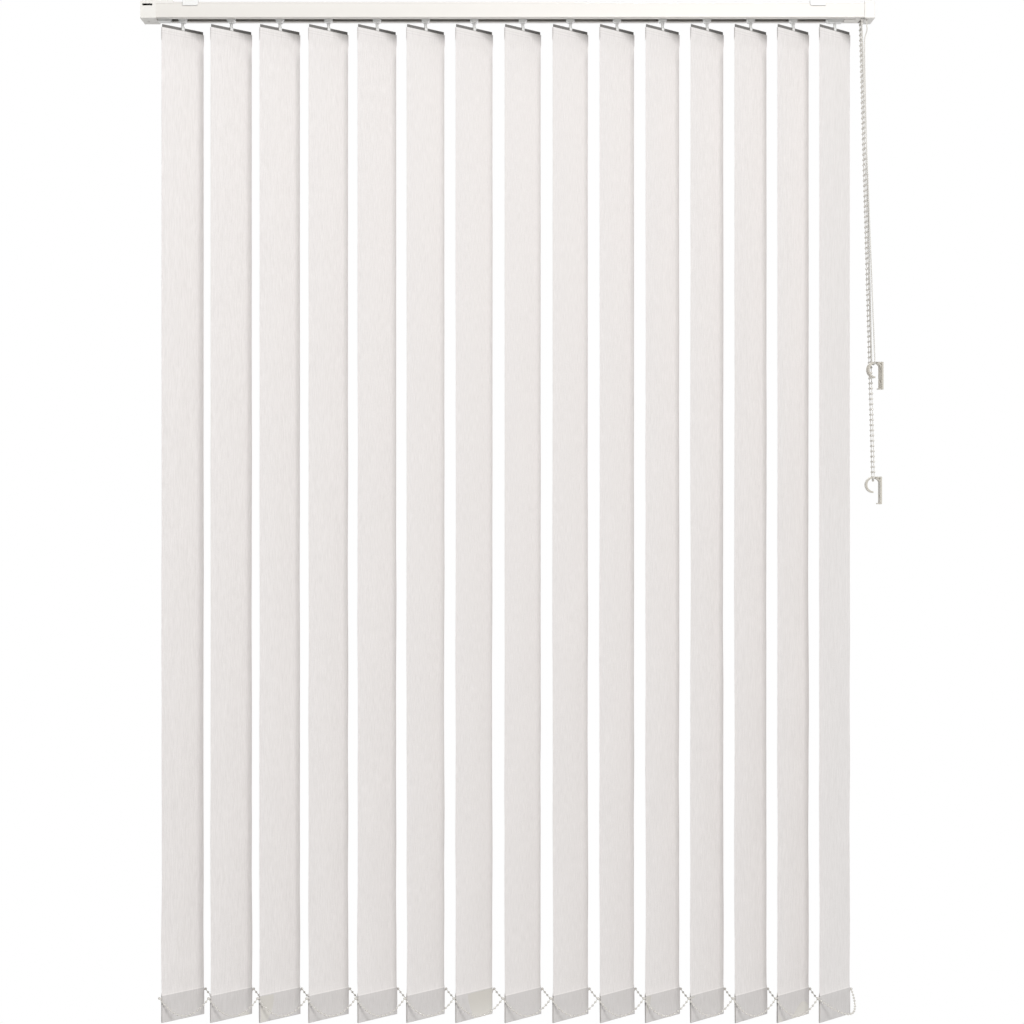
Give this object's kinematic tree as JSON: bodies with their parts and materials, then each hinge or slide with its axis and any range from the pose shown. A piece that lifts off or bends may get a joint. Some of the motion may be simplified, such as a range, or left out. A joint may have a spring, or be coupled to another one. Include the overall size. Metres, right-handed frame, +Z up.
{
  "type": "vertical blind",
  "caption": "Vertical blind with fabric slats on sliding carriers in a headrail, a draw cord, a tilt chain and stabiliser chains between the slat weights.",
  "frame": {"origin": "midway between the two bracket screws, in the ceiling plane that the brackets are screwed to", "axes": "+X along the headrail towards the control side, +Y from the room towards the window, +Z up"},
  "size_m": [1.2329, 0.0756, 1.693],
  "materials": {
    "rail_paint": "smooth satin cream paint on extruded aluminium",
    "cap_plastic": "moulded cream plastic with a fine grain",
    "bracket_plastic": "moulded white plastic",
    "pulley_plastic": "slippery white plastic",
    "rod_aluminium": "drawn aluminium",
    "cord_braid": "braided white cord",
    "chain_plastic": "glossy white beads on a thread",
    "clip_plastic": "milky see-through plastic",
    "carrier_plastic": "moulded white plastic",
    "stem_plastic": "moulded white plastic",
    "slat_fabric": "stiffened off-white fabric with a fine linen weave"
  },
  "bodies": {
    "root": {"headrail": "rail_paint", "idler_end_cap": "cap_plastic", "control_end_cap": "cap_plastic", "mounting_brackets": "bracket_plastic", "rail_cord": "cord_braid", "draw_cord": "cord_braid", "bead_chain": "chain_plastic", "cord_clips": "clip_plastic", "carrier_15": "carrier_plastic"},
    "tilt_drive": {"tilt_rod": "rod_aluminium", "chain_wheel": "pulley_plastic"},
    "idler_wheel": {"idler_pulley": "pulley_plastic"},
    "low_wheel": {"low_cord_pulley": "pulley_plastic"},
    "high_wheel": {"high_cord_pulley": "pulley_plastic"},
    "slat_15": {"stem_15": "stem_plastic", "slat_15": "slat_fabric"},
    "front_chain": {"front_stabiliser_chain": "chain_plastic"},
    "rear_chain": {"rear_stabiliser_chain": "chain_plastic"},
    "carriage_01": {"carrier_01": "carrier_plastic"},
    "slat_01": {"stem_01": "stem_plastic", "slat_01": "slat_fabric"},
    "carriage_02": {"carrier_02": "carrier_plastic"},
    "slat_02": {"stem_02": "stem_plastic", "slat_02": "slat_fabric"},
    "carriage_03": {"carrier_03": "carrier_plastic"},
    "slat_03": {"stem_03": "stem_plastic", "slat_03": "slat_fabric"},
    "carriage_04": {"carrier_04": "carrier_plastic"},
    "slat_04": {"stem_04": "stem_plastic", "slat_04": "slat_fabric"},
    "carriage_05": {"carrier_05": "carrier_plastic"},
    "slat_05": {"stem_05": "stem_plastic", "slat_05": "slat_fabric"},
    "carriage_06": {"carrier_06": "carrier_plastic"},
    "slat_06": {"stem_06": "stem_plastic", "slat_06": "slat_fabric"},
    "carriage_07": {"carrier_07": "carrier_plastic"},
    "slat_07": {"stem_07": "stem_plastic", "slat_07": "slat_fabric"},
    "carriage_08": {"carrier_08": "carrier_plastic"},
    "slat_08": {"stem_08": "stem_plastic", "slat_08": "slat_fabric"},
    "carriage_09": {"carrier_09": "carrier_plastic"},
    "slat_09": {"stem_09": "stem_plastic", "slat_09": "slat_fabric"},
    "carriage_10": {"carrier_10": "carrier_plastic"},
    "slat_10": {"stem_10": "stem_plastic", "slat_10": "slat_fabric"},
    "carriage_11": {"carrier_11": "carrier_plastic"},
    "slat_11": {"stem_11": "stem_plastic", "slat_11": "slat_fabric"},
    "carriage_12": {"carrier_12": "carrier_plastic"},
    "slat_12": {"stem_12": "stem_plastic", "slat_12": "slat_fabric"},
    "carriage_13": {"carrier_13": "carrier_plastic"},
    "slat_13": {"stem_13": "stem_plastic", "slat_13": "slat_fabric"},
    "carriage_14": {"carrier_14": "carrier_plastic"},
    "slat_14": {"stem_14": "stem_plastic", "slat_14": "slat_fabric"}
  },
  "joints": [
    {"name": "lead_carrier_slide", "type": "slide", "parent": "root", "child": "carriage_01", "axis": [1, 0, 0], "range_m": [0, 0.87996], "deforming": ["front_stabiliser_chain", "rear_stabiliser_chain"]},
    {"name": "carrier_02_slide", "type": "slide", "parent": "root", "child": "carriage_02", "axis": [1, 0, 0], "range_m": [0, 0.81318]},
    {"name": "carrier_03_slide", "type": "slide", "parent": "root", "child": "carriage_03", "axis": [1, 0, 0], "range_m": [0, 0.74638]},
    {"name": "carrier_04_slide", "type": "slide", "parent": "root", "child": "carriage_04", "axis": [1, 0, 0], "range_m": [0, 0.67958]},
    {"name": "carrier_05_slide", "type": "slide", "parent": "root", "child": "carriage_05", "axis": [1, 0, 0], "range_m": [0, 0.61278]},
    {"name": "carrier_06_slide", "type": "slide", "parent": "root", "child": "carriage_06", "axis": [1, 0, 0], "range_m": [0, 0.54598]},
    {"name": "carrier_07_slide", "type": "slide", "parent": "root", "child": "carriage_07", "axis": [1, 0, 0], "range_m": [0, 0.47918]},
    {"name": "carrier_08_slide", "type": "slide", "parent": "root", "child": "carriage_08", "axis": [1, 0, 0], "range_m": [0, 0.41238]},
    {"name": "carrier_09_slide", "type": "slide", "parent": "root", "child": "carriage_09", "axis": [1, 0, 0], "range_m": [0, 0.34726]},
    {"name": "carrier_10_slide", "type": "slide", "parent": "root", "child": "carriage_10", "axis": [1, 0, 0], "range_m": [0, 0.28382]},
    {"name": "carrier_11_slide", "type": "slide", "parent": "root", "child": "carriage_11", "axis": [1, 0, 0], "range_m": [0, 0.22206]},
    {"name": "carrier_12_slide", "type": "slide", "parent": "root", "child": "carriage_12", "axis": [1, 0, 0], "range_m": [0, 0.16198]},
    {"name": "carrier_13_slide", "type": "slide", "parent": "root", "child": "carriage_13", "axis": [1, 0, 0], "range_m": [0, 0.10358]},
    {"name": "carrier_14_slide", "type": "slide", "parent": "root", "child": "carriage_14", "axis": [1, 0, 0], "range_m": [0, 0.04686]},
    {"name": "slat_15_tilt", "type": "hinge", "parent": "root", "child": "slat_15", "pos_m": [0.55098, 0, 0], "axis": [0, 0, 1], "range_deg": [-32.5, 117.5]},
    {"name": "slat_01_tilt", "type": "hinge", "parent": "carriage_01", "child": "slat_01", "pos_m": [-0.53598, 0, 0], "axis": [0, 0, 1], "range_deg": [-32.5, 117.5]},
    {"name": "slat_02_tilt", "type": "hinge", "parent": "carriage_02", "child": "slat_02", "pos_m": [-0.45498, 0, 0], "axis": [0, 0, 1], "range_deg": [-32.5, 117.5]},
    {"name": "slat_03_tilt", "type": "hinge", "parent": "carriage_03", "child": "slat_03", "pos_m": [-0.37398, 0, 0], "axis": [0, 0, 1], "range_deg": [-32.5, 117.5]},
    {"name": "slat_04_tilt", "type": "hinge", "parent": "carriage_04", "child": "slat_04", "pos_m": [-0.29298, 0, 0], "axis": [0, 0, 1], "range_deg": [-32.5, 117.5]},
    {"name": "slat_05_tilt", "type": "hinge", "parent": "carriage_05", "child": "slat_05", "pos_m": [-0.21198, 0, 0], "axis": [0, 0, 1], "range_deg": [-32.5, 117.5]},
    {"name": "slat_06_tilt", "type": "hinge", "parent": "carriage_06", "child": "slat_06", "pos_m": [-0.13098, 0, 0], "axis": [0, 0, 1], "range_deg": [-32.5, 117.5]},
    {"name": "slat_07_tilt", "type": "hinge", "parent": "carriage_07", "child": "slat_07", "pos_m": [-0.04998, 0, 0], "axis": [0, 0, 1], "range_deg": [-32.5, 117.5]},
    {"name": "slat_08_tilt", "type": "hinge", "parent": "carriage_08", "child": "slat_08", "pos_m": [0.03102, 0, 0], "axis": [0, 0, 1], "range_deg": [-32.5, 117.5]},
    {"name": "slat_09_tilt", "type": "hinge", "parent": "carriage_09", "child": "slat_09", "pos_m": [0.11034, 0, 0], "axis": [0, 0, 1], "range_deg": [-32.5, 117.5]},
    {"name": "slat_10_tilt", "type": "hinge", "parent": "carriage_10", "child": "slat_10", "pos_m": [0.18798, 0, 0], "axis": [0, 0, 1], "range_deg": [-32.5, 117.5]},
    {"name": "slat_11_tilt", "type": "hinge", "parent": "carriage_11", "child": "slat_11", "pos_m": [0.26394, 0, 0], "axis": [0, 0, 1], "range_deg": [-32.5, 117.5]},
    {"name": "slat_12_tilt", "type": "hinge", "parent": "carriage_12", "child": "slat_12", "pos_m": [0.33822, 0, 0], "axis": [0, 0, 1], "range_deg": [-32.5, 117.5]},
    {"name": "slat_13_tilt", "type": "hinge", "parent": "carriage_13", "child": "slat_13", "pos_m": [0.41082, 0, 0], "axis": [0, 0, 1], "range_deg": [-32.5, 117.5]},
    {"name": "slat_14_tilt", "type": "hinge", "parent": "carriage_14", "child": "slat_14", "pos_m": [0.48174, 0, 0], "axis": [0, 0, 1], "range_deg": [-32.5, 117.5]},
    {"name": "rod_turn", "type": "hinge", "parent": "root", "child": "tilt_drive", "pos_m": [0, 0.0105, -0.0155], "axis": [1, 0, 0], "range_deg": [-326, 1176]},
    {"name": "front_chain_swing", "type": "hinge", "parent": "slat_15", "child": "front_chain", "pos_m": [0.51781, -0.0362, -1.6515], "axis": [0, 0, 1], "range_deg": [-117.5, 32.5]},
    {"name": "rear_chain_swing", "type": "hinge", "parent": "slat_15", "child": "rear_chain", "pos_m": [0.58415, 0.0362, -1.6515], "axis": [0, 0, 1], "range_deg": [-117.5, 32.5]},
    {"name": "idler_turn", "type": "hinge", "parent": "root", "child": "idler_wheel", "pos_m": [-0.58898, -0.0165, -0.013], "axis": [0, 1, 0], "range_deg": [-10084.6, 1]},
    {"name": "low_wheel_turn", "type": "hinge", "parent": "root", "child": "low_wheel", "pos_m": [0.58988, -0.0165, -0.022], "axis": [0, 1, 0], "range_deg": [-1, 12605.5]},
    {"name": "high_wheel_turn", "type": "hinge", "parent": "root", "child": "high_wheel", "pos_m": [0.59748, -0.0165, -0.012], "axis": [0, 1, 0], "range_deg": [-12605.5, 1]}
  ],
  "couplings": [
    {"joint": "carrier_02_slide", "follows": "lead_carrier_slide", "ratio": 0.92409},
    {"joint": "carrier_03_slide", "follows": "lead_carrier_slide", "ratio": 0.84818},
    {"joint": "carrier_04_slide", "follows": "lead_carrier_slide", "ratio": 0.77226},
    {"joint": "carrier_05_slide", "follows": "lead_carrier_slide", "ratio": 0.69635},
    {"joint": "carrier_06_slide", "follows": "lead_carrier_slide", "ratio": 0.62044},
    {"joint": "carrier_07_slide", "follows": "lead_carrier_slide", "ratio": 0.54453},
    {"joint": "carrier_08_slide", "follows": "lead_carrier_slide", "ratio": 0.46861},
    {"joint": "carrier_09_slide", "follows": "lead_carrier_slide", "ratio": 0.39461},
    {"joint": "carrier_10_slide", "follows": "lead_carrier_slide", "ratio": 0.32251},
    {"joint": "carrier_11_slide", "follows": "lead_carrier_slide", "ratio": 0.25233},
    {"joint": "carrier_12_slide", "follows": "lead_carrier_slide", "ratio": 0.18405},
    {"joint": "carrier_13_slide", "follows": "lead_carrier_slide", "ratio": 0.11769},
    {"joint": "carrier_14_slide", "follows": "lead_carrier_slide", "ratio": 0.05323},
    {"joint": "slat_01_tilt", "follows": "slat_15_tilt", "ratio": 1},
    {"joint": "slat_02_tilt", "follows": "slat_15_tilt", "ratio": 1},
    {"joint": "slat_03_tilt", "follows": "slat_15_tilt", "ratio": 1},
    {"joint": "slat_04_tilt", "follows": "slat_15_tilt", "ratio": 1},
    {"joint": "slat_05_tilt", "follows": "slat_15_tilt", "ratio": 1},
    {"joint": "slat_06_tilt", "follows": "slat_15_tilt", "ratio": 1},
    {"joint": "slat_07_tilt", "follows": "slat_15_tilt", "ratio": 1},
    {"joint": "slat_08_tilt", "follows": "slat_15_tilt", "ratio": 1},
    {"joint": "slat_09_tilt", "follows": "slat_15_tilt", "ratio": 1},
    {"joint": "slat_10_tilt", "follows": "slat_15_tilt", "ratio": 1},
    {"joint": "slat_11_tilt", "follows": "slat_15_tilt", "ratio": 1},
    {"joint": "slat_12_tilt", "follows": "slat_15_tilt", "ratio": 1},
    {"joint": "slat_13_tilt", "follows": "slat_15_tilt", "ratio": 1},
    {"joint": "slat_14_tilt", "follows": "slat_15_tilt", "ratio": 1},
    {"joint": "rod_turn", "follows": "slat_15_tilt", "ratio": 10},
    {"joint": "front_chain_swing", "follows": "slat_15_tilt", "ratio": -1},
    {"joint": "rear_chain_swing", "follows": "slat_15_tilt", "ratio": -1},
    {"joint": "idler_turn", "follows": "lead_carrier_slide", "rad_per_m": -200},
    {"joint": "low_wheel_turn", "follows": "lead_carrier_slide", "rad_per_m": 250},
    {"joint": "high_wheel_turn", "follows": "lead_carrier_slide", "rad_per_m": -250}
  ]
}
